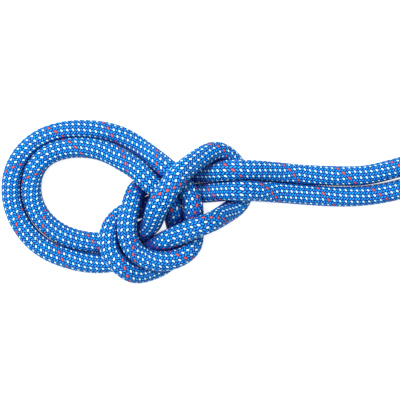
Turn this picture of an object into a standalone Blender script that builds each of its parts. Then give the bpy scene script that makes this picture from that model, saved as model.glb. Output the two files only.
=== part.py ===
"""Dynamic climbing rope, 9.5 mm by 60 m, tied in a retraced double bowline, with the rest put away in a hank.

Frame: metres, +Z up, the rope lies on z = 0, +X runs from the knot's eye to the hank.
The knot's route is written in millimetres in its own frame, which KNOT_AT moves into place.
"""

import math

import bmesh
import bpy
import numpy as np
from mathutils import Matrix, Vector

MM = 0.001

# Driving dimensions, in millimetres.
ROPE_D = 9.5
GAP = 0.3
KNOT_AT = (-141.0, 49.0)
TUBE_STEP = 5.0
END_SEGMENT = 1.2

# The knotted end, from the hank to the tail. Each stretch runs on to the first point of the next one.
ROUTE = [
    ("standing_part", [
        (116.0, 10.0, 5.0), (104.5, 7.3, 5.0), (90.0, 3.7, 5.0), (75.0, 1.8, 5.0), (60.0, 1.9, 5.0),
        (45.0, 3.0, 6.0), (31.0, 4.0, 11.0), (20.0, 4.5, 15.5), (12.5, 4.4, 11.2), (1.0, 3.4, 5.5),
    ]),
    ("nip_turn_inner", [
        (-13.0, 1.5, 5.0), (-26.5, -3.5, 4.9), (-35.6, -6.2, 6.4), (-41.2, -11.0, 10.9),
        (-43.4, -17.0, 14.4), (-42.3, -25.0, 15.0), (-37.2, -31.5, 14.5), (-31.3, -35.0, 10.8),
        (-23.8, -34.0, 6.2), (-15.0, -29.0, 5.0), (-11.0, -20.0, 5.0), (-11.5, -12.5, 5.5),
        (-12.5, -8.0, 10.4), (-13.5, -2.5, 14.5),
    ]),
    ("eye_strand_inner", [
        (-18.0, 3.2, 15.0), (-25.0, 9.3, 16.5), (-29.4, 13.8, 14.5), (-36.3, 18.5, 11.5),
        (-46.5, 23.5, 9.5), (-61.5, 24.9, 9.0), (-73.9, 20.7, 8.9), (-80.3, 11.7, 7.0),
        (-79.9, -2.0, 5.2), (-70.8, -13.8, 5.0), (-57.1, -19.6, 5.0), (-43.0, -20.0, 5.0),
    ]),
    ("collar_bight", [
        (-31.6, -16.4, 7.7), (-24.1, -12.2, 12.7), (-20.8, -5.6, 21.0), (-18.0, 0.0, 24.5),
        (-10.0, 11.4, 24.5), (-1.6, 18.9, 19.0), (7.0, 23.2, 11.4), (13.2, 21.0, 6.4), (17.7, 15.5, 5.0),
        (20.5, 5.5, 5.0), (18.5, -1.5, 5.0), (13.0, -6.0, 8.0), (5.0, -10.5, 18.5), (-3.0, -13.5, 21.0),
        (-13.5, -17.9, 16.9), (-22.9, -22.7, 6.9),
    ]),
    ("eye_strand_outer", [
        (-32.5, -27.1, 4.9), (-47.5, -30.3, 5.0), (-62.4, -28.4, 5.0), (-76.1, -22.4, 5.0),
        (-86.1, -11.7, 5.0), (-90.8, 2.0, 5.0), (-88.7, 16.5, 5.0), (-79.5, 27.7, 4.9),
        (-66.5, 33.0, 5.0), (-51.5, 33.7, 5.0), (-37.3, 30.3, 5.0), (-25.2, 22.4, 7.5),
        (-15.8, 14.8, 14.5),
    ]),
    ("nip_turn_outer", [
        (-12.0, 11.0, 14.5), (-7.5, 6.0, 14.5), (-3.7, -1.1, 14.5), (-3.0, -11.8, 11.1),
        (-3.7, -21.1, 12.2), (-9.6, -26.9, 14.3), (-19.0, -29.1, 15.6), (-28.4, -26.3, 15.7),
        (-33.5, -19.5, 17.6), (-34.4, -10.5, 18.1), (-32.0, 0.1, 14.1), (-29.5, 5.3, 8.1),
        (-20.5, 9.4, 5.5),
    ]),
    ("tail", [
        (-7.0, 12.5, 5.0), (5.4, 13.4, 8.5), (13.5, 14.0, 14.8), (23.5, 14.2, 14.2), (37.0, 13.3, 8.0),
        (51.5, 12.1, 5.0), (66.5, 11.6, 5.0), (79.0, 11.9, 5.0), (91.0, 14.5, 5.5), (102.0, 17.5, 6.0),
    ]),
]

# The hank: turns with straight sides and round ends, wound in layers that nest in each other.
HANK_NOSE_X = 100.0
HANK_Y = -49.0
HANK_STRAIGHT = 105.0
HANK_END_R = 86.5
HANK_TOP = 148.0
HANK_LOW_R = 5.0
HANK_TOP_R = 14.0
HANK_X = HANK_NOSE_X + HANK_END_R + HANK_STRAIGHT / 2

# The two straps that hold the hank together.
STRAP_W = 20.0
STRAP_T = 1.5
STRAP_OFFSET = 30.0
STRAP_LOW_R = 1.0

# The rope's ends: a shrunk sleeve over the sheath, and a melted tip.
SLEEVE_L = 25.0
SLEEVE_T = 0.5
SLEEVE_PAST = 1.0
SHEATH_T = 1.0
END_L = 22.0
TIP_L = 3.5

# The core: three-ply strands in two rings, with a marker tape in the place of one outer strand.
INNER_STRANDS = (3, 1.05, 1.25)
OUTER_STRANDS = (9, 2.75, 1.4)
LAY_LENGTH = 12.0
TAPE = (1.8, 0.35)

# The far end lies on the hank's round end, along the turns below it, which run clockwise from above.
FAR_END_R = 58.0
FAR_END_FROM = 65.0
FAR_END_TO = -45.0
FAR_END_STEPS = 22

SHEATH_BLUE = (0.012, 0.16, 0.62)
CORE_WHITE = (0.86, 0.86, 0.82)


def clear_scene():
    for o in list(bpy.data.objects):
        bpy.data.objects.remove(o, do_unlink=True)


def material(name, colour, roughness, metallic=0.0):
    m = bpy.data.materials.get(name) or bpy.data.materials.new(name)
    m.use_nodes = True
    shader = m.node_tree.nodes["Principled BSDF"]
    shader.inputs["Base Color"].default_value = (*colour, 1.0)
    shader.inputs["Roughness"].default_value = roughness
    shader.inputs["Metallic"].default_value = metallic
    return m


def world(x, y, z):
    """A place in the knot's frame, in millimetres, as metres in the part's frame."""
    return Vector(((x + KNOT_AT[0]) * MM, (y + KNOT_AT[1]) * MM, z * MM))


def natural_spline(points):
    """The second derivatives of the smooth curve through the points, and its knot spacing."""
    p = np.array(points, float)
    h = np.sqrt(np.linalg.norm(np.diff(p, axis=0), axis=1))
    a = np.eye(len(p))
    b = np.zeros_like(p)
    for i in range(1, len(p) - 1):
        a[i, i - 1:i + 2] = h[i - 1], 2 * (h[i - 1] + h[i]), h[i]
        b[i] = 6 * ((p[i + 1] - p[i]) / h[i] - (p[i] - p[i - 1]) / h[i - 1])
    return p, h, np.linalg.solve(a, b)


def smooth_spans(points, steps=24):
    """Fine points on each span of the smooth curve through the points."""
    p, h, m = natural_spline(points)
    u = np.linspace(0, 1, steps + 1)[:, None]
    w = 1 - u
    return [
        w * p[i] + u * p[i + 1] + h[i] ** 2 / 6 * ((w ** 3 - w) * m[i] + (u ** 3 - u) * m[i + 1])
        for i in range(len(p) - 1)
    ]


def evenly(fine, step, trim_start, trim_end):
    """Points about a step apart along a fine line, with a little cut off each end.

    A short first and last segment keeps each end face square to the line.
    """
    s = np.r_[0, np.cumsum(np.linalg.norm(np.diff(fine, axis=0), axis=1))]
    start, end = trim_start, s[-1] - trim_end
    inner = np.linspace(start + END_SEGMENT, end - END_SEGMENT, max(2, round(s[-1] / step)) + 1)
    at = np.r_[start, inner, end]
    return np.column_stack([np.interp(at, s, fine[:, k]) for k in range(3)])


def stretches():
    """Each stretch's name and points, on one smooth curve through the whole route."""
    points = [p for _, part in ROUTE for p in part]
    spans = smooth_spans(points)
    first = 0
    for k, (name, part) in enumerate(ROUTE):
        last = min(first + len(part), len(points) - 1)
        fine = np.vstack(spans[first:last])
        yield name, evenly(fine, TUBE_STEP, GAP if k else 0.0, GAP)
        first = last


def tube(name, points, look):
    """A plain round tube along a line of points, in millimetres in the knot's frame."""
    curve = bpy.data.curves.new(name, "CURVE")
    curve.dimensions = "3D"
    curve.bevel_depth = ROPE_D / 2 * MM
    curve.bevel_resolution = 2
    curve.use_fill_caps = True
    line = curve.splines.new("POLY")
    line.points.add(len(points) - 1)
    for place, p in zip(line.points, points):
        place.co = (*world(*p), 1.0)
    curve.materials.append(look)
    o = bpy.data.objects.new(name, curve)
    bpy.context.collection.objects.link(o)
    return o


def add_mesh(name, bm, look, smooth=True):
    bmesh.ops.remove_doubles(bm, verts=bm.verts, dist=1e-6)
    bmesh.ops.recalc_face_normals(bm, faces=bm.faces)
    mesh = bpy.data.meshes.new(name)
    bm.to_mesh(mesh)
    bm.free()
    if smooth:
        mesh.shade_smooth()
        mesh.set_sharp_from_angle(angle=math.radians(35))
    mesh.materials.append(look)
    o = bpy.data.objects.new(name, mesh)
    bpy.context.collection.objects.link(o)
    return o


def loops_to_faces(bm, loops, closed=False, caps=True):
    """Joins loops of points with the same count into a skin, with flat ends or as a ring of loops."""
    rings = [[bm.verts.new(p) for p in loop] for loop in loops]
    count = len(rings[0])
    pairs = list(zip(rings, rings[1:] + rings[:1] if closed else rings[1:]))
    for a, b in pairs:
        for i in range(count):
            j = (i + 1) % count
            bm.faces.new((a[i], a[j], b[j], b[i]))
    if caps and not closed:
        bm.faces.new(rings[0])
        bm.faces.new(rings[-1])


def along(start, direction):
    """The placement that puts +Z of a turned piece along a direction from a start."""
    z = Vector(direction).normalized()
    return Matrix.Translation(start) @ z.to_track_quat("Z", "Y").to_matrix().to_4x4()


def turned(name, profile, place, look, segments=24, ring=False):
    """A piece turned about +Z from (radius, height) points; a ring's profile closes on itself."""
    bm = bmesh.new()
    loops = []
    for r, z in profile:
        loops.append([
            (r * MM * math.cos(t), r * MM * math.sin(t), z * MM)
            for t in (2 * math.pi * i / segments for i in range(segments))
        ])
    loops_to_faces(bm, loops, closed=ring)
    o = add_mesh(name, bm, look)
    o.matrix_world = place
    return o


def hollow(name, inner, outer, low, high, place, look):
    profile = [(outer, low), (outer, high), (inner, high), (inner, low)]
    return turned(name, profile, place, look, ring=True)


def sleeve(name, high, place, look):
    """A plain sleeve round the sheath, up to a height past the place that it is built from."""
    inner = ROPE_D / 2 + GAP
    return hollow(name, inner, inner + SLEEVE_T, high - SLEEVE_L, high, place, look)


def melted_tip(name, place, low, look):
    """A short rounded plug of melted sheath and core that closes the rope's end."""
    r = ROPE_D / 2
    profile = [(0.0, 0.0), (0.0, 1.2), (0.4, 2.3), (1.3, 3.1), (2.6, TIP_L)]
    return turned(name, [(r - inset, low + z) for inset, z in profile], place, look)


def stadium(straight, radius, count):
    """An outline with straight sides and round ends, about its centre."""
    points = []
    for side in (1, -1):
        for i in range(count + 1):
            t = side * math.pi / 2 - math.pi * i / count
            points.append((side * straight / 2 + radius * math.cos(t), radius * math.sin(t)))
    return points


def build_hank(look):
    """The hank's outer shape with rounded edges, and a shallow groove under each strap."""
    eighth = 1 - math.cos(math.radians(45))
    levels = [
        (HANK_LOW_R, 0.0), (HANK_LOW_R * eighth, HANK_LOW_R * eighth), (0.0, HANK_LOW_R),
        (0.0, HANK_TOP - HANK_TOP_R), (HANK_TOP_R * eighth, HANK_TOP - HANK_TOP_R * eighth),
        (HANK_TOP_R, HANK_TOP),
    ]
    loops = []
    for inset, z in levels:
        shape = stadium(HANK_STRAIGHT, HANK_END_R - inset, 16)
        loops.append([world(HANK_X + x, HANK_Y + y, z) for x, y in shape])
    bm = bmesh.new()
    loops_to_faces(bm, loops)
    hank = add_mesh("rope_hank", bm, look)
    for k, side in enumerate((-1, 1)):
        cutter = groove_cutter(k, side)
        cut = hank.modifiers.new(f"strap_groove_{k + 1}", "BOOLEAN")
        cut.operation = "DIFFERENCE"
        cut.object = cutter
    return hank


def groove_cutter(k, side):
    depth = STRAP_T + GAP
    bm = bmesh.new()
    bmesh.ops.create_cube(bm, size=1.0)
    size = ((STRAP_W + 2 * GAP) * MM, 2.2 * HANK_END_R * MM, 2 * depth * MM)
    bmesh.ops.scale(bm, vec=size, verts=bm.verts)
    mesh = bpy.data.meshes.new(f"groove_cutter_{k + 1}")
    bm.to_mesh(mesh)
    bm.free()
    cutter = bpy.data.objects.new(mesh.name, mesh)
    cutter.location = world(HANK_X + side * STRAP_OFFSET, HANK_Y, 0.0)
    cutter.hide_render = True
    cutter.display_type = "WIRE"
    bpy.context.collection.objects.link(cutter)
    return cutter


def rounded_box_loop(half_width, low, high, top_r, low_r, x, count=4):
    """A rounded rectangle round the hank's waist, in the YZ plane at x."""
    points = []
    corners = [(1, high - top_r, top_r, 0), (-1, high - top_r, top_r, 90),
               (-1, low + low_r, low_r, 180), (1, low + low_r, low_r, 270)]
    for side, cz, radius, start in corners:
        cy = side * (half_width - radius)
        for i in range(count + 1):
            t = math.radians(start + 90 * i / count)
            points.append(world(x, HANK_Y + cy + radius * math.cos(t), cz + radius * math.sin(t)))
    return points


def build_strap(k, side, look):
    """One closed strap round the hank's waist."""
    x = HANK_X + side * STRAP_OFFSET
    inner = (HANK_END_R + GAP, STRAP_T, HANK_TOP + GAP, HANK_TOP_R + GAP, STRAP_LOW_R)
    outer = (inner[0] + STRAP_T, 0.0, inner[2] + STRAP_T, inner[3] + STRAP_T, inner[4] + STRAP_T)
    loops = [
        rounded_box_loop(*shape, x + edge * STRAP_W / 2)
        for shape, edge in ((outer, -1), (outer, 1), (inner, 1), (inner, -1))
    ]
    bm = bmesh.new()
    loops_to_faces(bm, loops, closed=True)
    return add_mesh(f"hank_strap_{k + 1}", bm, look)


def three_ply_loop(radius, turn, z, count=9):
    """The three-lobed outline of a twisted strand."""
    loop = []
    for i in range(count):
        t = 2 * math.pi * i / count
        r = radius * (0.88 + 0.12 * math.cos(3 * t)) * MM
        loop.append((r * math.cos(t + turn), r * math.sin(t + turn), z * MM))
    return loop


def core_strand(number, at, diameter, hand, place, look, rings=7):
    """One core strand: straight, with its own three plies twisted left or right."""
    length = END_L - GAP
    bm = bmesh.new()
    loops = []
    for i in range(rings):
        z = GAP + length * i / (rings - 1)
        loops.append(three_ply_loop(diameter / 2, hand * 2 * math.pi * z / LAY_LENGTH / 3, z))
    loops_to_faces(bm, loops)
    o = add_mesh(f"core_strand_{number:02d}", bm, look)
    o.matrix_world = place @ Matrix.Translation((at[0] * MM, at[1] * MM, 0))
    return o


def build_core(place, look, tape_look):
    """Two rings of core strands inside the sheath, with the marker tape in one outer place."""
    number = 0
    for count, ring_r, diameter in (INNER_STRANDS, OUTER_STRANDS):
        for i in range(count):
            t = 2 * math.pi * i / count + math.pi / 2
            at = (ring_r * math.cos(t), ring_r * math.sin(t))
            if count == OUTER_STRANDS[0] and i == 0:
                marker_tape(at, place, tape_look)
                continue
            number += 1
            core_strand(number, at, diameter, 1 if number % 2 else -1, place, look)


def marker_tape(at, place, look):
    bm = bmesh.new()
    bmesh.ops.create_cube(bm, size=1.0)
    bmesh.ops.scale(bm, vec=(TAPE[0] * MM, TAPE[1] * MM, (END_L - GAP) * MM), verts=bm.verts)
    o = add_mesh("marker_tape", bm, look, smooth=False)
    middle = (at[0] * MM, at[1] * MM, (GAP + END_L) / 2 * MM)
    o.matrix_world = place @ Matrix.Translation(middle)


def build_tail_end(points, looks):
    """The tail's last stretch, built as the whole rope is: sheath over core, sleeve, melted tip."""
    place = along(world(*points[-1]), Vector(points[-1]) - Vector(points[-2]))
    r = ROPE_D / 2
    hollow("tail_end_sheath", r - SHEATH_T, r, GAP, END_L, place, looks["sheath"])
    build_core(place, looks["core"], looks["tape"])
    sleeve("tail_end_sleeve", END_L + SLEEVE_PAST, place, looks["sleeve"])
    melted_tip("tail_end_tip", place, END_L + GAP, looks["tip"])


def far_end_points():
    """An arc on top of the hank's round end, then a straight stretch for the sleeve."""
    centre_x = HANK_X + HANK_STRAIGHT / 2
    z = HANK_TOP + GAP + SLEEVE_T + GAP + ROPE_D / 2
    points = []
    for i in range(FAR_END_STEPS + 1):
        t = math.radians(FAR_END_FROM + (FAR_END_TO - FAR_END_FROM) * i / FAR_END_STEPS)
        points.append((centre_x + FAR_END_R * math.cos(t), HANK_Y + FAR_END_R * math.sin(t), z))
    t = math.radians(FAR_END_TO)
    ahead = Vector((math.sin(t), -math.cos(t), 0))
    return points + [tuple(Vector(points[-1]) + ahead * (END_L * k / 3)) for k in (1, 2, 3)]


def build_far_end(looks):
    points = far_end_points()
    tube("far_end", points, looks["sheath"])
    place = along(world(*points[-1]), Vector(points[-1]) - Vector(points[-2]))
    sleeve("far_end_sleeve", SLEEVE_PAST, place, looks["sleeve"])
    melted_tip("far_end_tip", place, GAP, looks["tip"])


def main():
    clear_scene()
    looks = {
        "sheath": material("rope_sheath", SHEATH_BLUE, 0.6),
        "core": material("core_yarn", CORE_WHITE, 0.7),
        "tape": material("marker_tape", (0.75, 0.62, 0.1), 0.45),
        "sleeve": material("end_sleeve", (0.06, 0.06, 0.07), 0.35),
        "tip": material("melted_tip", (0.01, 0.05, 0.2), 0.3),
        "strap": material("strap_webbing", (0.03, 0.03, 0.035), 0.75),
    }
    for name, points in stretches():
        tube(name, points, looks["sheath"])
        last = points
    build_tail_end(last, looks)
    build_hank(looks["sheath"])
    for k, side in enumerate((-1, 1)):
        build_strap(k, side, looks["strap"])
    build_far_end(looks)


main()
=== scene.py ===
"""Looks of the dynamic climbing rope: its braided sheath, the hank, the straps and the rope's ends.

The rope's route and its braid are written in millimetres in the knot's own frame, as in the part's
source. place() turns them into metres in the part's frame.
"""

import math

import bpy
import numpy as np
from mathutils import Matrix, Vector
from mathutils.bvhtree import BVHTree


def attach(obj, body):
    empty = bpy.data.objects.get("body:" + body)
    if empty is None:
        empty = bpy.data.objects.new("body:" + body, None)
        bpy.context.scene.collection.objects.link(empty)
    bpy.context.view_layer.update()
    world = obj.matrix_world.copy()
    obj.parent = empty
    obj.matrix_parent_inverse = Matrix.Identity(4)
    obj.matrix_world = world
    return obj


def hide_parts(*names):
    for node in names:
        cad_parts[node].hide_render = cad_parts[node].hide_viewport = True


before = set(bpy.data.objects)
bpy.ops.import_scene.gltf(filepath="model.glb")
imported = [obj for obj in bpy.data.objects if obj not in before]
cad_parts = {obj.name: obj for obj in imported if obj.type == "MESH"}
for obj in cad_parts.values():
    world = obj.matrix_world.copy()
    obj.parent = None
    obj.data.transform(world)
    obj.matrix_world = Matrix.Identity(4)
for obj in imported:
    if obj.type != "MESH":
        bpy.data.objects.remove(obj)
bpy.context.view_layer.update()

MM = 0.001
ROPE_D = 9.5
KNOT_AT = (-141.0, 49.0)

# The knotted end, from the hank to the tail. Each stretch runs on to the first point of the next one.
ROUTE = [
    ("standing_part", [
        (116.0, 10.0, 5.0), (104.5, 7.3, 5.0), (90.0, 3.7, 5.0), (75.0, 1.8, 5.0), (60.0, 1.9, 5.0),
        (45.0, 3.0, 6.0), (31.0, 4.0, 11.0), (20.0, 4.5, 15.5), (12.5, 4.4, 11.2), (1.0, 3.4, 5.5),
    ]),
    ("nip_turn_inner", [
        (-13.0, 1.5, 5.0), (-26.5, -3.5, 4.9), (-35.6, -6.2, 6.4), (-41.2, -11.0, 10.9),
        (-43.4, -17.0, 14.4), (-42.3, -25.0, 15.0), (-37.2, -31.5, 14.5), (-31.3, -35.0, 10.8),
        (-23.8, -34.0, 6.2), (-15.0, -29.0, 5.0), (-11.0, -20.0, 5.0), (-11.5, -12.5, 5.5),
        (-12.5, -8.0, 10.4), (-13.5, -2.5, 14.5),
    ]),
    ("eye_strand_inner", [
        (-18.0, 3.2, 15.0), (-25.0, 9.3, 16.5), (-29.4, 13.8, 14.5), (-36.3, 18.5, 11.5),
        (-46.5, 23.5, 9.5), (-61.5, 24.9, 9.0), (-73.9, 20.7, 8.9), (-80.3, 11.7, 7.0),
        (-79.9, -2.0, 5.2), (-70.8, -13.8, 5.0), (-57.1, -19.6, 5.0), (-43.0, -20.0, 5.0),
    ]),
    ("collar_bight", [
        (-31.6, -16.4, 7.7), (-24.1, -12.2, 12.7), (-20.8, -5.6, 21.0), (-18.0, 0.0, 24.5),
        (-10.0, 11.4, 24.5), (-1.6, 18.9, 19.0), (7.0, 23.2, 11.4), (13.2, 21.0, 6.4), (17.7, 15.5, 5.0),
        (20.5, 5.5, 5.0), (18.5, -1.5, 5.0), (13.0, -6.0, 8.0), (5.0, -10.5, 18.5), (-3.0, -13.5, 21.0),
        (-13.5, -17.9, 16.9), (-22.9, -22.7, 6.9),
    ]),
    ("eye_strand_outer", [
        (-32.5, -27.1, 4.9), (-47.5, -30.3, 5.0), (-62.4, -28.4, 5.0), (-76.1, -22.4, 5.0),
        (-86.1, -11.7, 5.0), (-90.8, 2.0, 5.0), (-88.7, 16.5, 5.0), (-79.5, 27.7, 4.9),
        (-66.5, 33.0, 5.0), (-51.5, 33.7, 5.0), (-37.3, 30.3, 5.0), (-25.2, 22.4, 7.5),
        (-15.8, 14.8, 14.5),
    ]),
    ("nip_turn_outer", [
        (-12.0, 11.0, 14.5), (-7.5, 6.0, 14.5), (-3.7, -1.1, 14.5), (-3.0, -11.8, 11.1),
        (-3.7, -21.1, 12.2), (-9.6, -26.9, 14.3), (-19.0, -29.1, 15.6), (-28.4, -26.3, 15.7),
        (-33.5, -19.5, 17.6), (-34.4, -10.5, 18.1), (-32.0, 0.1, 14.1), (-29.5, 5.3, 8.1),
        (-20.5, 9.4, 5.5),
    ]),
    ("tail", [
        (-7.0, 12.5, 5.0), (5.4, 13.4, 8.5), (13.5, 14.0, 14.8), (23.5, 14.2, 14.2), (37.0, 13.3, 8.0),
        (51.5, 12.1, 5.0), (66.5, 11.6, 5.0), (79.0, 11.9, 5.0), (91.0, 14.5, 5.5), (102.0, 17.5, 6.0),
    ]),
]

# Where the sheath is turned about the rope's own line: millimetres from the hank, and degrees.
TWIST = [
    (0, -45), (35, -46), (58, -25), (81, -30), (91, -67), (117, -63), (168, 14), (188, 29), (197, 8),
    (279, -85), (288, -105), (308, -81), (332, -74), (358, -36), (383, -30), (412, 18), (434, 24),
    (440, 0), (447, -41), (470, -68), (478, -88), (522, 7), (533, -53), (548, -31), (554, -70),
    (561, -97), (608, -42), (638, -48), (664, -33), (691, -31), (718, -13), (744, -48), (753, -51),
    (770, -37), (780, -97), (802, -63), (821, -16), (829, -50), (854, -52), (908, -22), (916, -16),
    (934, -32), (943, -53), (962, -31), (970, -45), (990, -27),
]

# Where another strand presses the rope flat: millimetres from the hank, half the pressed length, and
# how much wider and lower it gets.
PRESSED = [
    (88, 40, 0.035, -0.02), (284, 18, 0.06, -0.04), (375, 32, 0.04, -0.02), (437, 16, 0.12, -0.07),
    (503, 14, 0.05, -0.03), (607, 38, 0.04, -0.02), (752, 20, 0.07, -0.05), (920, 42, 0.035, -0.02),
]

# The braid: yarns each way round, millimetres for a full turn of one, the height of its floats, and
# how far they stand out past the rope's plain radius.
CARRIERS = 20
PITCH = 27.4
RELIEF = 0.3
SWELL = 0.1
FLOAT_TAPER = 2.5
KNOT_SIDES = 80
RING_STEP = PITCH / KNOT_SIDES
LINE_STEPS = 24

# The shade between strands: it is found on every few rings, at points round them, with rays from each.
SHADE_STEP = 4
SHADE_SIDES = 24
RAYS = 40
RAY_REACH = 12.0
RAY_FACING = 0.05

# The hank's turns.
HANK_X = 239.0
HANK_Y = -49.0
HANK_STRAIGHT = 105.0
HANK_END_R = 86.5
HANK_TOP = 148.0
LAYERS = 18
TURNS = 6
TOP_TURNS = 4
TURN_STEP = 9.6
INNER_R = (28.5, 33.3)
FIRST_Z = 4.9
LAST_Z = HANK_TOP - ROPE_D / 2
CROSSING = 45.0
HANK_SIDES = 16
STRAP_X = (-30.0, 30.0)
STRAP_W = 20.0
STRAP_T = 1.5
STRAP_TOP_R = 14.0
STRAP_LOW_R = 1.0
STRAP_OVERLAP = 58.0
STRAP_RISE = 14.0
WEAVE_STEP = 1.6
WEAVE_RIBS = 36

# The rope's ends.
GAP = 0.3
END_L = 22.0
SLEEVE_L = 25.0
SLEEVE_PAST = 1.0
SLEEVE_T = 0.5
LIP_L = 0.5
LIP_DROP = 0.7
SHEATH_T = 1.0
FAR_END_R = 58.0
FAR_END_FROM = 65.0
FAR_END_TO = -45.0
FAR_END_STEPS = 22
FAR_END_Z = HANK_TOP + GAP + SLEEVE_T + GAP + ROPE_D / 2

# The floor's half side in metres, and the camera, which looks straight down at the knot.
FLOOR_SIDE = 30.0
VIEW_SIDE = 192.0
VIEW_Z = 8.0
LENS = 135.0
SENSOR = 36.0


def place(points):
    """Points in millimetres in the knot's frame, as metres in the part's frame."""
    return (np.asarray(points, float) + (*KNOT_AT, 0.0)) * MM


def add_camera():
    data = bpy.data.cameras.new("camera")
    data.lens = LENS
    data.sensor_width = SENSOR
    camera = bpy.data.objects.new("camera", data)
    camera.location = place((0.0, 0.0, VIEW_Z + VIEW_SIDE * LENS / SENSOR))
    bpy.context.scene.collection.objects.link(camera)
    bpy.context.scene.camera = camera


# Lines and the frames along them.

def natural_spline(points):
    """The second derivatives of the smooth curve through the points, and its knot spacing."""
    p = np.array(points, float)
    h = np.sqrt(np.linalg.norm(np.diff(p, axis=0), axis=1))
    a = np.eye(len(p))
    b = np.zeros_like(p)
    for i in range(1, len(p) - 1):
        a[i, i - 1:i + 2] = h[i - 1], 2 * (h[i - 1] + h[i]), h[i]
        b[i] = 6 * ((p[i + 1] - p[i]) / h[i] - (p[i] - p[i - 1]) / h[i - 1])
    return p, h, np.linalg.solve(a, b)


def smooth_line(points):
    """Fine points on the smooth curve through the points, LINE_STEPS of them to a span."""
    p, h, m = natural_spline(points)
    u = np.linspace(0, 1, LINE_STEPS + 1)[:-1, None]
    w = 1 - u
    spans = [
        w * p[i] + u * p[i + 1] + h[i] ** 2 / 6 * ((w ** 3 - w) * m[i] + (u ** 3 - u) * m[i + 1])
        for i in range(len(p) - 1)
    ]
    return np.vstack([*spans, p[-1:]])


def lengths(line):
    """How far along the line each of its points is."""
    return np.r_[0, np.cumsum(np.linalg.norm(np.diff(line, axis=0), axis=1))]


def read_at(line, at):
    s = lengths(line)
    return np.column_stack([np.interp(at, s, line[:, k]) for k in range(3)])


def unit(v):
    return v / np.linalg.norm(v, axis=-1, keepdims=True)


def frames(line):
    """Directions along the line and two across it, which turn no more than the line makes them."""
    ahead = unit(np.gradient(line, axis=0))
    out = np.zeros_like(line)
    out[0] = unit(np.array((0, 0, 1.0)) - ahead[0] * ahead[0][2])
    for i in range(1, len(line)):
        step = line[i] - line[i - 1]
        scale = 2 / (step @ step)
        carried = out[i - 1] - scale * (step @ out[i - 1]) * step
        pointing = ahead[i - 1] - scale * (step @ ahead[i - 1]) * step
        turn = ahead[i] - pointing
        if turn @ turn > 1e-18:
            carried = carried - 2 / (turn @ turn) * (turn @ carried) * turn
        out[i] = unit(carried - ahead[i] * (carried @ ahead[i]))
    return ahead, out, np.cross(ahead, out)


# The braid.

def braid_height(s, turn):
    """The height of the yarn on top, from 0 at a float's edges to 1 at its middle."""
    right = (turn - s / PITCH) * CARRIERS
    left = (turn + s / PITCH) * CARRIERS
    i, j = np.round(right), np.round(left)
    quarter = np.mod(i + j, 4)
    on_top = quarter < 1.5
    across = np.where(on_top, right - i, left - j)
    along = np.where(on_top, left - j, right - i) + np.mod(quarter, 2) - 0.5
    return np.clip((1 - (2 * across) ** 2) * (1 - np.abs(along) ** FLOAT_TAPER), 0, 1)


def pressed(s, which):
    """How much wider (2) or lower (3) than round the rope is at these lengths."""
    scale = np.ones_like(s)
    for entry in PRESSED:
        scale += entry[which] * np.exp(-((s - entry[0]) / entry[1]) ** 2)
    return scale


def rings(line, s, sides, radius, relief=0.0, twist=0.0, squeeze=False):
    """Points on the rope's surface round each point of the line."""
    ahead, out, side = frames(line)
    turn = np.arange(sides) / sides
    angle = 2 * math.pi * turn[None, :] + np.radians(twist + np.zeros(len(s)))[:, None]
    height = relief * (braid_height(s[:, None], turn[None, :]) - 1) if relief else 0.0
    r = (radius + height) * np.ones((len(s), sides))
    radial = np.cos(angle)[..., None] * out[:, None] + np.sin(angle)[..., None] * side[:, None]
    offset = r[..., None] * radial
    if squeeze:
        flat = unit(np.cross((0, 0, 1.0), ahead))[:, None]
        up = np.cross(ahead[:, None], flat)
        wide, low = pressed(s, 2) - 1, pressed(s, 3) - 1
        offset = (offset + (wide[:, None] * (offset * flat).sum(-1))[..., None] * flat
                  + (low[:, None] * (offset * up).sum(-1))[..., None] * up)
    return line[:, None] + offset


def even_directions(count):
    """Directions spread evenly over a sphere."""
    turn = np.arange(count) * math.pi * (3 - math.sqrt(5))
    height = 1 - (2 * np.arange(count) + 1) / count
    level = np.sqrt(1 - height ** 2)
    return np.column_stack([level * np.cos(turn), level * np.sin(turn), height])


def closed_in(starts, radial, tree):
    """How much of the space over each start other strands fill, from 0 to 1."""
    rays = even_directions(RAYS)
    vectors = [Vector(r) for r in rays]
    filled = np.zeros(len(starts))
    for n, (start, share) in enumerate(zip(starts, radial @ rays.T)):
        open_to = np.flatnonzero(share > RAY_FACING)
        blocked = [tree.ray_cast(start, vectors[r], RAY_REACH)[0] is not None for r in open_to]
        filled[n] = share[open_to] @ blocked / share[open_to].sum()
    return filled


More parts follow.
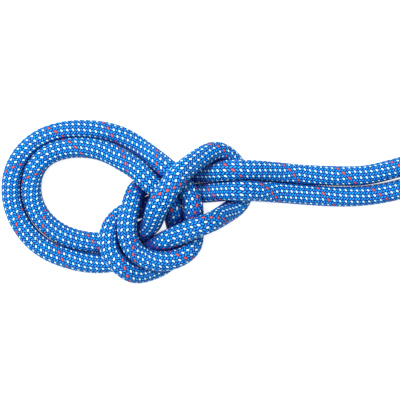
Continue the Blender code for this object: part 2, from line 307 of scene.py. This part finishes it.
def occlusion(centres, twist):
    """closed_in() for each point of the knotted end's surface, found on a coarser tube."""
    picked = np.arange(0, len(centres), SHADE_STEP)
    out, side = (v[picked][:, None] for v in frames(centres)[1:])
    angle = 2 * math.pi * np.arange(SHADE_SIDES)[None, :, None] / SHADE_SIDES
    radial = np.cos(angle) * out + np.sin(angle) * side
    middles = centres[picked][:, None]
    k, m = np.meshgrid(np.arange(len(picked) - 1), np.arange(SHADE_SIDES), indexing="ij")
    k, m = k.ravel(), m.ravel()
    m2 = (m + 1) % SHADE_SIDES
    quads = np.column_stack([m, m2, m2 + SHADE_SIDES, m + SHADE_SIDES]) + k[:, None] * SHADE_SIDES
    tube = (middles + radial * ROPE_D / 2).reshape(-1, 3)
    tree = BVHTree.FromPolygons(tube.tolist(), quads.tolist())
    starts = (middles + radial * (ROPE_D / 2 + SWELL)).reshape(-1, 3)
    filled = closed_in(starts, radial.reshape(-1, 3), tree).reshape(len(picked), SHADE_SIDES)
    ring = np.minimum(np.arange(len(centres)) / SHADE_STEP, len(picked) - 1.001)[:, None]
    round_it = np.mod(np.arange(KNOT_SIDES)[None] / KNOT_SIDES + twist[:, None] / 360, 1) * SHADE_SIDES
    low, near = ring.astype(int), round_it.astype(int)
    up, on = ring - low, round_it - near
    near, after = near % SHADE_SIDES, (near + 1) % SHADE_SIDES
    below = (1 - on) * filled[low, near] + on * filled[low, after]
    above = (1 - on) * filled[low + 1, near] + on * filled[low + 1, after]
    return (1 - up) * below + up * above


def skin(name, loops, s, look, closed=False, shade=None):
    """A mesh through loops of points, closed by a cap at each end or into a ring of loops.

    Its UV map "braid" holds the length in pitches and the place round the loop in turns. Its
    attribute "shade" holds how far each point is closed in, where that is given.
    """
    count, sides = loops.shape[:2]
    points = place(loops.reshape(-1, 3))
    last = count if closed else count - 1
    k, m = np.meshgrid(np.arange(last), np.arange(sides), indexing="ij")
    k, m = k.ravel(), m.ravel()
    k2, m2 = (k + 1) % count, (m + 1) % sides
    faces = np.column_stack([k * sides + m, k * sides + m2, k2 * sides + m2, k2 * sides + m])
    u, u2 = s[k] / PITCH, np.r_[s, 2 * s[-1] - s[-2]][k + 1] / PITCH
    uvs = np.stack([
        np.column_stack([u, m / sides]), np.column_stack([u, (m + 1) / sides]),
        np.column_stack([u2, (m + 1) / sides]), np.column_stack([u2, m / sides]),
    ], axis=1)
    flat = list(map(tuple, faces.tolist()))
    uv = uvs.reshape(-1, 2).tolist()
    if not closed:
        middles = [place(loops[e].mean(axis=0)) for e in (0, -1)]
        points = np.vstack([points, *middles])
        for cap, base in ((0, 0), (1, (count - 1) * sides)):
            for i in range(sides):
                a, b = base + i, base + (i + 1) % sides
                flat.append((a, count * sides + cap, b) if cap == 0 else (b, count * sides + cap, a))
                uv += [[0.0, 0.0]] * 3
    mesh = bpy.data.meshes.new(name)
    mesh.from_pydata(points.tolist(), [], flat)
    layer = mesh.uv_layers.new(name="braid")
    layer.data.foreach_set("uv", np.array(uv, np.float32).ravel())
    if shade is not None:
        with_caps = np.r_[shade.ravel(), shade[0].mean(), shade[-1].mean()]
        layer = mesh.attributes.new("shade", "FLOAT", "POINT")
        layer.data.foreach_set("value", with_caps.astype(np.float32))
    smooth = np.zeros(len(flat), bool)
    smooth[:len(faces)] = True
    mesh.polygons.foreach_set("use_smooth", smooth)
    mesh.materials.append(look)
    o = bpy.data.objects.new(name, mesh)
    bpy.context.scene.collection.objects.link(o)
    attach(o, "root")
    return o


def declare(node):
    """Hides the CAD node that a stretch of rope takes the place of."""
    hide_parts(node)


# Materials.

class Look:
    """A material being made: each call adds a node and gives its output."""

    def __init__(self, name):
        self.material = bpy.data.materials.new(name)
        self.material.use_nodes = True
        self.tree = self.material.node_tree
        self.shader = self.tree.nodes["Principled BSDF"]

    def node(self, kind, **settings):
        n = self.tree.nodes.new(kind)
        for key, value in settings.items():
            setattr(n, key, value)
        return n

    def feed(self, socket, value):
        if isinstance(value, bpy.types.NodeSocket):
            self.tree.links.new(value, socket)
        else:
            socket.default_value = value

    def math(self, operation, *values):
        n = self.node("ShaderNodeMath", operation=operation)
        for socket, value in zip(n.inputs, values):
            self.feed(socket, value)
        return n.outputs[0]

    def blend(self, share, a, b):
        """a where share is 0, b where it is 1, as numbers."""
        return self.math("MULTIPLY_ADD", share, self.math("SUBTRACT", b, a), a)

    def mix(self, share, a, b):
        """a where share is 0, b where it is 1, as colours."""
        n = self.node("ShaderNodeMix", data_type="RGBA")
        for socket, value in ((n.inputs[0], share), (n.inputs[6], a), (n.inputs[7], b)):
            self.feed(socket, (*value, 1.0) if isinstance(value, tuple) else value)
        return n.outputs[2]

    def ramp(self, value, low, high):
        n = self.node("ShaderNodeMapRange", interpolation_type="SMOOTHSTEP")
        self.feed(n.inputs["Value"], value)
        n.inputs["From Min"].default_value = low
        n.inputs["From Max"].default_value = high
        return n.outputs[0]

    def noise(self, scale, detail):
        n = self.node("ShaderNodeTexNoise")
        n.inputs["Scale"].default_value = scale
        n.inputs["Detail"].default_value = detail
        self.feed(n.inputs["Vector"], self.node("ShaderNodeTexCoord").outputs["Object"])
        return n.outputs["Fac"]

    def bump(self, height, distance):
        n = self.node("ShaderNodeBump")
        n.inputs["Strength"].default_value = 1.0
        n.inputs["Distance"].default_value = distance
        self.feed(n.inputs["Height"], height)
        self.feed(self.shader.inputs["Normal"], n.outputs[0])

    def finish(self, colour, roughness, **plain):
        self.feed(self.shader.inputs["Base Color"], colour)
        self.feed(self.shader.inputs["Roughness"], roughness)
        for key, value in plain.items():
            self.shader.inputs[key.replace("_", " ").title().replace("Ior", "IOR")].default_value = value
        return self.material


# The sheath's colours: a blue float's crown and the painted shade at its edges, the pale and
# the tracer floats, and the painted shade between strands.
BLUE = (0.003, 0.32, 0.95)
DEEP_BLUE = (0.0, 0.002, 0.10)
WHITE = (0.58, 0.90, 0.98)
CORAL = (0.50, 0.09, 0.07)
CREVICE_BLUE = (0.0, 0.004, 0.14)


def braid_coordinates(look):
    """Where a point is on its float, which yarn it is, and the float's own random number."""
    uv = look.node("ShaderNodeSeparateXYZ")
    look.feed(uv.inputs[0], look.node("ShaderNodeUVMap", uv_map="braid").outputs[0])
    s, turn = uv.outputs[0], uv.outputs[1]
    right = look.math("MULTIPLY", look.math("SUBTRACT", turn, s), float(CARRIERS))
    left = look.math("MULTIPLY", look.math("ADD", turn, s), float(CARRIERS))
    i, j = look.math("ROUND", right), look.math("ROUND", left)
    quarter = look.math("FLOORED_MODULO", look.math("ADD", i, j), 4.0)
    on_top = look.math("LESS_THAN", quarter, 1.5)
    second = look.math("FLOORED_MODULO", quarter, 2.0)
    off_i, off_j = look.math("SUBTRACT", right, i), look.math("SUBTRACT", left, j)
    across = look.blend(on_top, off_j, off_i)
    along = look.math("ADD", look.blend(on_top, off_i, off_j), look.math("SUBTRACT", second, 0.5))
    first_i = look.math("SUBTRACT", i, look.blend(on_top, second, 0.0))
    first_j = look.math("SUBTRACT", j, look.math("MULTIPLY", on_top, second))
    pair = look.node("ShaderNodeCombineXYZ")
    look.feed(pair.inputs[0], first_i)
    look.feed(pair.inputs[1], first_j)
    chance = look.node("ShaderNodeTexWhiteNoise", noise_dimensions="2D")
    look.feed(chance.inputs["Vector"], pair.outputs[0])
    return i, on_top, across, along, chance.outputs["Value"]


def sheath_look(name, float_bump):
    """Blue braid with white floats on every other yarn of one hand, and one coral yarn among them.

    float_bump is how much of the floats' height is bump: none where the mesh has it as relief.
    """
    look = Look(name)
    i, on_top, across, along, chance = braid_coordinates(look)
    every_other = look.math("LESS_THAN", look.math("FLOORED_MODULO", i, 2.0), 0.5)
    pale = look.math("MULTIPLY", on_top, every_other)
    first = look.math("LESS_THAN", look.math("FLOORED_MODULO", i, float(CARRIERS)), 0.5)
    tracer = look.math("MULTIPLY", on_top, first)
    crown = look.math("SUBTRACT", 1.0, look.math("POWER", look.math("MULTIPLY", across, 2.0), 2.0))
    taper = look.math("SUBTRACT", 1.0, look.math("POWER", look.math("ABSOLUTE", along), FLOAT_TAPER))
    height = look.math("MULTIPLY", crown, taper)
    filament = look.math("SINE", look.math(
        "MULTIPLY_ADD", across, 2 * math.pi * 5, look.math("MULTIPLY", along, 2.2)))
    wear = look.noise(55.0, 3.0)
    own = look.math("MULTIPLY_ADD", chance, 0.34, 0.66)
    tone = look.math("ADD", own, look.math("MULTIPLY", wear, 0.30))
    # Painted shade: each float darkens from BLUE at its crown to DEEP_BLUE at its edges, where the yarns
    # beside it shade it; its tone also differs at random.
    crowned = look.math("MULTIPLY", look.ramp(height, 0.24, 1.0), look.math("MINIMUM", tone, 1.0))
    blue = look.mix(crowned, DEEP_BLUE, BLUE)
    from_middle = look.math(
        "ADD", look.math("POWER", look.math("MULTIPLY", across, 2.1), 2.0),
        look.math("POWER", look.math("MULTIPLY", along, 1.3), 2.0))
    inked = look.math("MAXIMUM", look.math("MULTIPLY", pale, look.ramp(from_middle, 1.2, 0.4)),
                      look.math("MULTIPLY", tracer, look.ramp(from_middle, 1.7, 1.0)))
    yarn = look.mix(inked, blue, look.mix(tracer, WHITE, CORAL))
    lined = look.mix(look.math("MULTIPLY_ADD", filament, 0.04, 0.04), yarn, DEEP_BLUE)
    # Painted shade: the colour darkens towards CREVICE_BLUE where the rays of occlusion() find other
    # strands closing the surface in.
    shade = look.node("ShaderNodeAttribute", attribute_name="shade").outputs["Fac"]
    colour = look.mix(look.math("MULTIPLY", look.ramp(shade, 0.25, 0.85), 0.9), lined, CREVICE_BLUE)
    relief = look.math("MULTIPLY_ADD", filament, 0.08, look.math("MULTIPLY", height, float_bump))
    look.bump(relief, RELIEF * MM)
    roughness = look.math("MULTIPLY_ADD", chance, 0.14, 0.50)
    return look.finish(colour, roughness, specular_ior_level=0.14)


def yarn_look():
    look = Look("core_yarn")
    wave = look.node("ShaderNodeTexWave", bands_direction="DIAGONAL")
    wave.inputs["Scale"].default_value = 260.0
    wave.inputs["Distortion"].default_value = 1.5
    look.feed(wave.inputs["Vector"], look.node("ShaderNodeTexCoord").outputs["Object"])
    twist = wave.outputs["Fac"]
    look.bump(twist, 0.15 * MM)
    # Painted shade: the yarn is darker in the grooves of its twist, where the bump sinks.
    return look.finish(look.mix(twist, (0.55, 0.54, 0.5), (0.88, 0.88, 0.85)), 0.62, sheen_weight=0.2)


def plastic_look(name, dark, light, roughness, grain, depth):
    """Plastic with a fine uneven surface: its colours, roughness, and the grain's scale and depth."""
    look = Look(name)
    fine, broad = look.noise(grain, 4.0), look.noise(grain / 12, 2.0)
    look.bump(fine, depth)
    colour = look.mix(look.ramp(broad, 0.35, 0.65), dark, light)
    return look.finish(colour, look.math("MULTIPLY_ADD", fine, 0.15, roughness))


def webbing_look():
    """Woven strap: the UV map "braid" holds millimetres along it, over the pitch, and the way round."""
    look = Look("strap_webbing")
    uv = look.node("ShaderNodeSeparateXYZ")
    look.feed(uv.inputs[0], look.node("ShaderNodeUVMap", uv_map="braid").outputs[0])
    along = look.math("MULTIPLY", uv.outputs[0], PITCH * 2 * math.pi / WEAVE_STEP)
    across = look.math("MULTIPLY", uv.outputs[1], 2 * math.pi * WEAVE_RIBS)
    rib = look.math("SINE", look.math("ADD", along, across))
    cross_rib = look.math("SINE", look.math("SUBTRACT", along, across))
    weave = look.math("MAXIMUM", rib, cross_rib)
    share = look.ramp(weave, -0.2, 1.0)
    wear = look.noise(90.0, 3.0)
    # Painted shade: the weave is near black in its low parts between the ribs; the ribs' own tone differs
    # at random.
    raised = look.mix(wear, (0.028, 0.029, 0.033), (0.06, 0.062, 0.07))
    colour = look.mix(share, (0.006, 0.006, 0.008), raised)
    look.bump(share, 0.35 * MM)
    return look.finish(colour, look.math("MULTIPLY_ADD", wear, 0.15, 0.62), sheen_weight=0.15)


# The rope.

def knot_line():
    """The knotted end as a fine line, run straight on through the tail's end, and its joints."""
    points = [p for _, part in ROUTE for p in part]
    line = smooth_line(points)
    ahead = unit(line[-1] - line[-2])
    s = lengths(line)
    joints, first = [], 0
    for name, part in ROUTE:
        joints.append((name, s[first * LINE_STEPS]))
        first += len(part)
    return np.vstack([line, line[-1] + ahead * END_L]), joints, s[-1]


def build_knot(look):
    """One mesh for each stretch of the knotted end. Gives the tail and its line, and what its end needs."""
    line, joints, end = knot_line()
    at = np.arange(0, end + END_L - GAP, RING_STEP)
    centres = read_at(line, at)
    twist = np.interp(at, *np.array(TWIST, float).T)
    loops = rings(centres, at, KNOT_SIDES, ROPE_D / 2 + SWELL, RELIEF, twist, squeeze=True)
    shade = occlusion(centres, twist)
    cuts = [round(s / RING_STEP) for _, s in joints] + [round(end / RING_STEP)]
    for (name, _), a, b in zip(joints, cuts, cuts[1:]):
        span = slice(a, b + 1)
        o = skin(f"{name}_braid", loops[span], at[span], look, shade=shade[span])
        if name != "tail":
            declare(name)
    rest = slice(cuts[-1], None)
    return o, centres[span], centres[rest], loops[rest], at[rest]


def layer_radius(layer, turn):
    """Even layers are wound inwards, odd ones outwards, so that each lies in the grooves below it."""
    inner = INNER_R[layer % 2]
    return inner + TURN_STEP * (turn if layer % 2 else TURNS - 1 - turn)


def layer_z(layer):
    return FIRST_Z + (LAST_Z - FIRST_Z) * layer / (LAYERS - 1)


def around(radius, z, arc_steps=16):
    """One turn of the hank, clockwise, between the ends of the crossing on its long side."""
    half = HANK_STRAIGHT / 2
    points = [(CROSSING, radius)]
    for side in (1, -1):
        for i in range(arc_steps + 1):
            t = side * math.pi / 2 - math.pi * i / arc_steps
            points.append((side * half + radius * math.cos(t), radius * math.sin(t)))
        if side == 1:
            points += [(half - HANK_STRAIGHT * i / 6, -radius) for i in range(1, 6)]
    points.append((-CROSSING, radius))
    return [(x, y, z) for x, y in points]


def crossing(start, end, steps=8):
    """The way from one turn to the next, or up to the next layer, with soft bends."""
    points = []
    for i in range(1, steps):
        u = i / steps
        share = u * u * (3 - 2 * u)
        radius, z = (a + (b - a) * share for a, b in zip(start, end))
        points.append((-CROSSING + 2 * CROSSING * u, radius, z))
    return points


def entry():
    """From the knot's standing part on to the bottom layer's outer turn."""
    radius, z = layer_radius(0, 0), layer_z(0)
    half = HANK_STRAIGHT / 2
    arc = [math.radians(t) for t in (118, 108, 99, 90)]
    onto = [(-half + radius * math.cos(t), radius * math.sin(t)) for t in arc]
    along = [(x, radius) for x in (-35.0, -15.0, 5.0, 25.0)]
    lead = [(116.0, 10.0, 5.0), (128.0, 12.4, 5.0), (140.0, 15.2, 5.0)]
    return [(x - HANK_X, y - HANK_Y, h) for x, y, h in lead] + [(x, y, z) for x, y in onto + along]


def settle(points):
    """The small unevenness of hand-laid turns, and the lift where the straps pass below."""
    p = np.array(points, float)
    x, y, z = p.T
    phase = x / 31 + y / 23 + z / 9
    strap = sum(np.exp(-((x - at) / 13) ** 2) for at in STRAP_X) * (np.abs(y) > 20)
    lift = (STRAP_T + GAP) * strap * (1 - z / LAST_Z)
    sway = np.column_stack([
        0.25 * np.sin(phase * 1.3), 0.25 * np.sin(phase * 1.7 + 1), 0.2 * np.sin(phase),
    ])
    loose = np.clip((z - 2 * FIRST_Z) / ROPE_D, 0, 1)[:, None]
    return p + sway * loose + np.column_stack([0 * x, 0 * x, lift])


def hank_layers():
    """Each layer's centreline, as points about the hank's middle. The last one leads to the far end."""
    layers = []
    for layer in range(LAYERS):
        turns = TOP_TURNS if layer == LAYERS - 1 else TURNS
        points = entry() if layer == 0 else []
        for turn in range(turns):
            here = (layer_radius(layer, turn), layer_z(layer))
            if turn + 1 < turns:
                after = (layer_radius(layer, turn + 1), here[1])
            elif layer + 1 < LAYERS:
                after = (layer_radius(layer + 1, 0), layer_z(layer + 1))
            else:
                after = (FAR_END_R, FAR_END_Z)
            points += around(*here) + crossing(here, after)
        layers.append(points)
    return layers


def far_end_points():
    """An arc on top of the hank's round end, then a straight stretch for the sleeve."""
    half = HANK_STRAIGHT / 2
    points = []
    for i in range(FAR_END_STEPS + 1):
        t = math.radians(FAR_END_FROM + (FAR_END_TO - FAR_END_FROM) * i / FAR_END_STEPS)
        points.append((half + FAR_END_R * math.cos(t), FAR_END_R * math.sin(t), FAR_END_Z))
    t = math.radians(FAR_END_TO)
    ahead = np.array((math.sin(t), -math.cos(t), 0))
    return points + [tuple(points[-1] + ahead * END_L * k / 3) for k in (1, 2, 3)]


def build_hank(look):
    layers = [settle(points) for points in hank_layers()]
    lead = [(HANK_STRAIGHT / 2 + FAR_END_R * math.cos(t), FAR_END_R * math.sin(t), FAR_END_Z)
            for t in map(math.radians, (90, 82, 74, FAR_END_FROM))]
    layers[-1] = np.vstack([layers[-1], [(CROSSING, FAR_END_R, FAR_END_Z)], lead])
    middle = np.array((HANK_X, HANK_Y, 0.0))
    for k, points in enumerate(layers):
        if k + 1 < len(layers):
            points = np.vstack([points, layers[k + 1][:1]])
        centres = points + middle
        s = lengths(centres)
        o = skin(f"hank_layer_{k + 1:02d}", rings(centres, s, HANK_SIDES, ROPE_D / 2 - RELIEF / 3), s, look)
        declare("rope_hank")


def wall(name, loops, inner_r, centres, s, look):
    """A hollow piece: its outer loops, then loops of an inner radius back to where it starts."""
    inner = rings(centres, s, loops.shape[1], inner_r)[::-1]
    return skin(name, np.concatenate([loops, inner]), np.r_[s, s[::-1]], look, closed=True)


def build_sleeve(name, node, centres, look):
    """A shrunk sleeve: the braid shows through it, and its lips are round."""
    s = lengths(centres)
    outer = ROPE_D / 2 + GAP + SLEEVE_T
    loops = rings(centres, s, KNOT_SIDES, outer, RELIEF / 3)
    ends = np.minimum(s, s[-1] - s)
    rounding = 1 - np.clip(ends / LIP_L, 0, 1)
    lip = SLEEVE_T * LIP_DROP * (1 - np.sqrt(1 - rounding ** 2))
    inward = unit(centres[:, None] - loops)
    loops = loops + inward * lip[:, None, None]
    o = wall(name, loops, outer - SLEEVE_T, centres, s, look)
    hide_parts(node)
    return o


def build_ends(tail, tail_line, end_line, end_loops, end_s, sheath, sleeve):
    """The tail's hollow end over its core, the far end on the hank, and their sleeves."""
    end_sheath = wall("tail_end_braid", end_loops, ROPE_D / 2 - SHEATH_T, end_line, end_s, sheath)
    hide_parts("tail_end_sheath")
    ahead = unit(end_line[-1] - end_line[0])
    start = end_line[0] - ahead * (GAP + SLEEVE_L - END_L - SLEEVE_PAST)
    steps = np.arange(0, SLEEVE_L + RING_STEP / 2, RING_STEP)[:, None]
    tail_sleeve = build_sleeve("tail_end_sleeve_shrunk", "tail_end_sleeve", start + ahead * steps, sleeve)
    inside = [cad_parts[n] for n in sorted(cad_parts) if n.startswith("core_strand")]
    inside += [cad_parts["marker_tape"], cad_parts["tail_end_tip"]]
    declare("tail")

    points = np.array(far_end_points()) + (HANK_X, HANK_Y, 0.0)
    at = np.arange(0, lengths(points)[-1], RING_STEP)
    centres = read_at(points, at)
    loops = rings(centres, at, KNOT_SIDES, ROPE_D / 2, RELIEF)
    far = skin("far_end_braid", loops, at, sheath)
    ahead = unit(points[-1] - points[-2])
    start = points[-1] - ahead * (SLEEVE_L - SLEEVE_PAST)
    far_sleeve = build_sleeve("far_end_sleeve_shrunk", "far_end_sleeve", start + ahead * steps, sleeve)
    declare("far_end")


# The straps.

def strap_path(offset):
    """The strap's way round the hank, in the plane across it, with rounded corners."""
    half, top, low = HANK_END_R + GAP + offset, HANK_TOP + GAP + offset, STRAP_T - offset
    top_r, low_r = STRAP_TOP_R + GAP + offset, STRAP_LOW_R + offset
    corners = [(1, top - top_r, top_r, 90), (1, low + low_r, low_r, 0),
               (-1, low + low_r, low_r, -90), (-1, top - top_r, top_r, -180)]
    points = []
    for side, z, r, start in corners:
        for i in range(9):
            t = math.radians(start - 90 * i / 8)
            points.append((side * (half - r) + r * math.cos(t), z + r * math.sin(t)))
    return np.array(points + points[:1])


def strap_line(step=2.0):
    """Once round, then on over its own start, which the strap's end covers."""
    once = strap_path(STRAP_T / 2)
    over = strap_path(STRAP_T * 1.5 + 0.1)
    s_once, s_over = lengths(once), lengths(over)
    at = np.arange(0, s_once[-1], step)
    first = np.column_stack([np.interp(at, s_once, once[:, k]) for k in (0, 1)])
    share = np.clip((at - (s_once[-1] - STRAP_RISE)) / STRAP_RISE, 0, 1)[:, None]
    share = share * share * (3 - 2 * share)
    at_over = at * s_over[-1] / s_once[-1]
    high = np.column_stack([np.interp(at_over, s_over, over[:, k]) for k in (0, 1)])
    first = first + (high - first) * share
    more = np.arange(0, STRAP_OVERLAP, step)
    second = np.column_stack([np.interp(more, s_over, over[:, k]) for k in (0, 1)])
    return np.vstack([first, second])


def strap_section():
    """The strap's cross-section: flat, with soft edges."""
    w, t, r = STRAP_W / 2, STRAP_T / 2, 0.6
    points = []
    for sx, sz, start in ((1, 1, 0), (-1, 1, 90), (-1, -1, 180), (1, -1, 270)):
        for i in range(4):
            a = math.radians(start + 90 * i / 3)
            points.append((sx * (w - r) + r * math.cos(a), sz * (t - r) + r * math.sin(a)))
    return np.array(points)[::-1]


def build_strap(k, x, look):
    line = strap_line()
    tangent = unit(np.gradient(line, axis=0))
    outward = np.column_stack([-tangent[:, 1], tangent[:, 0]])
    section = strap_section()
    loops = np.zeros((len(line), len(section), 3))
    loops[..., 0] = HANK_X + x + section[None, :, 0]
    across = section[None, :, 1, None] * outward[:, None]
    loops[..., 1] = HANK_Y + line[:, None, 0] + across[..., 0]
    loops[..., 2] = line[:, None, 1] + across[..., 1]
    o = skin(f"hank_strap_{k + 1}_webbing", loops, lengths(line), look)
    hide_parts(f"hank_strap_{k + 1}")


# The stage.

def add_stage():
    mesh = bpy.data.meshes.new("floor")
    side = FLOOR_SIDE
    corners = [(-side, -side, 0), (side, -side, 0), (side, side, 0), (-side, side, 0)]
    mesh.from_pydata(corners, [], [(0, 1, 2, 3)])
    floor = bpy.data.objects.new("floor", mesh)
    bpy.context.scene.collection.objects.link(floor)
    look = Look("floor")
    look.shader.inputs["Emission Color"].default_value = (1.0, 1.0, 1.0, 1.0)
    mesh.materials.append(look.finish((0.45, 0.45, 0.45, 1.0), 0.9, emission_strength=0.72))


def add_light(name, at, size, power, target=(-0.14, 0.05, 0.0)):
    data = bpy.data.lights.new(name, "AREA")
    data.shape = "DISK"
    data.size = size
    data.energy = power
    light = bpy.data.objects.new(name, data)
    light.location = at
    light.rotation_euler = (Vector(target) - Vector(at)).to_track_quat("-Z", "Y").to_euler()
    bpy.context.scene.collection.objects.link(light)


def add_lights():
    world = bpy.data.worlds.new("studio")
    world.use_nodes = True
    background = world.node_tree.nodes["Background"]
    background.inputs["Color"].default_value = (0.95, 0.97, 1.0, 1.0)
    background.inputs["Strength"].default_value = 0.40
    bpy.context.scene.world = world
    add_light("key", (-0.75, 0.55, 1.5), 0.7, 39.0)
    add_light("top", (-0.2, 0.1, 2.0), 0.9, 24.0)
    bpy.context.scene.view_settings.view_transform = "Standard"


def main():
    add_camera()
    braid = sheath_look("rope_braid", 0.0)
    hank_braid = sheath_look("hank_braid", 1.0)
    sleeve = plastic_look("end_sleeve", (0.012, 0.012, 0.014), (0.03, 0.03, 0.034), 0.3, 900.0, 0.05 * MM)
    tail_and_end = build_knot(braid)
    build_hank(hank_braid)
    build_ends(*tail_and_end, braid, sleeve)
    webbing = webbing_look()
    for k, x in enumerate(STRAP_X):
        build_strap(k, x, webbing)
    looks = {
        "core_strand": yarn_look(),
        "marker_tape": plastic_look(
            "marker_tape", (0.6, 0.5, 0.12), (0.72, 0.62, 0.2), 0.35, 1500.0, 0.03 * MM),
        "tip": plastic_look(
            "melted_tip", (0.003, 0.02, 0.11), (0.01, 0.06, 0.26), 0.22, 700.0, 0.2 * MM),
    }
    for name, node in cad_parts.items():
        for part, look in looks.items():
            if part in name:
                node.material_slots[0].material = look
    add_stage()
    add_lights()


main()
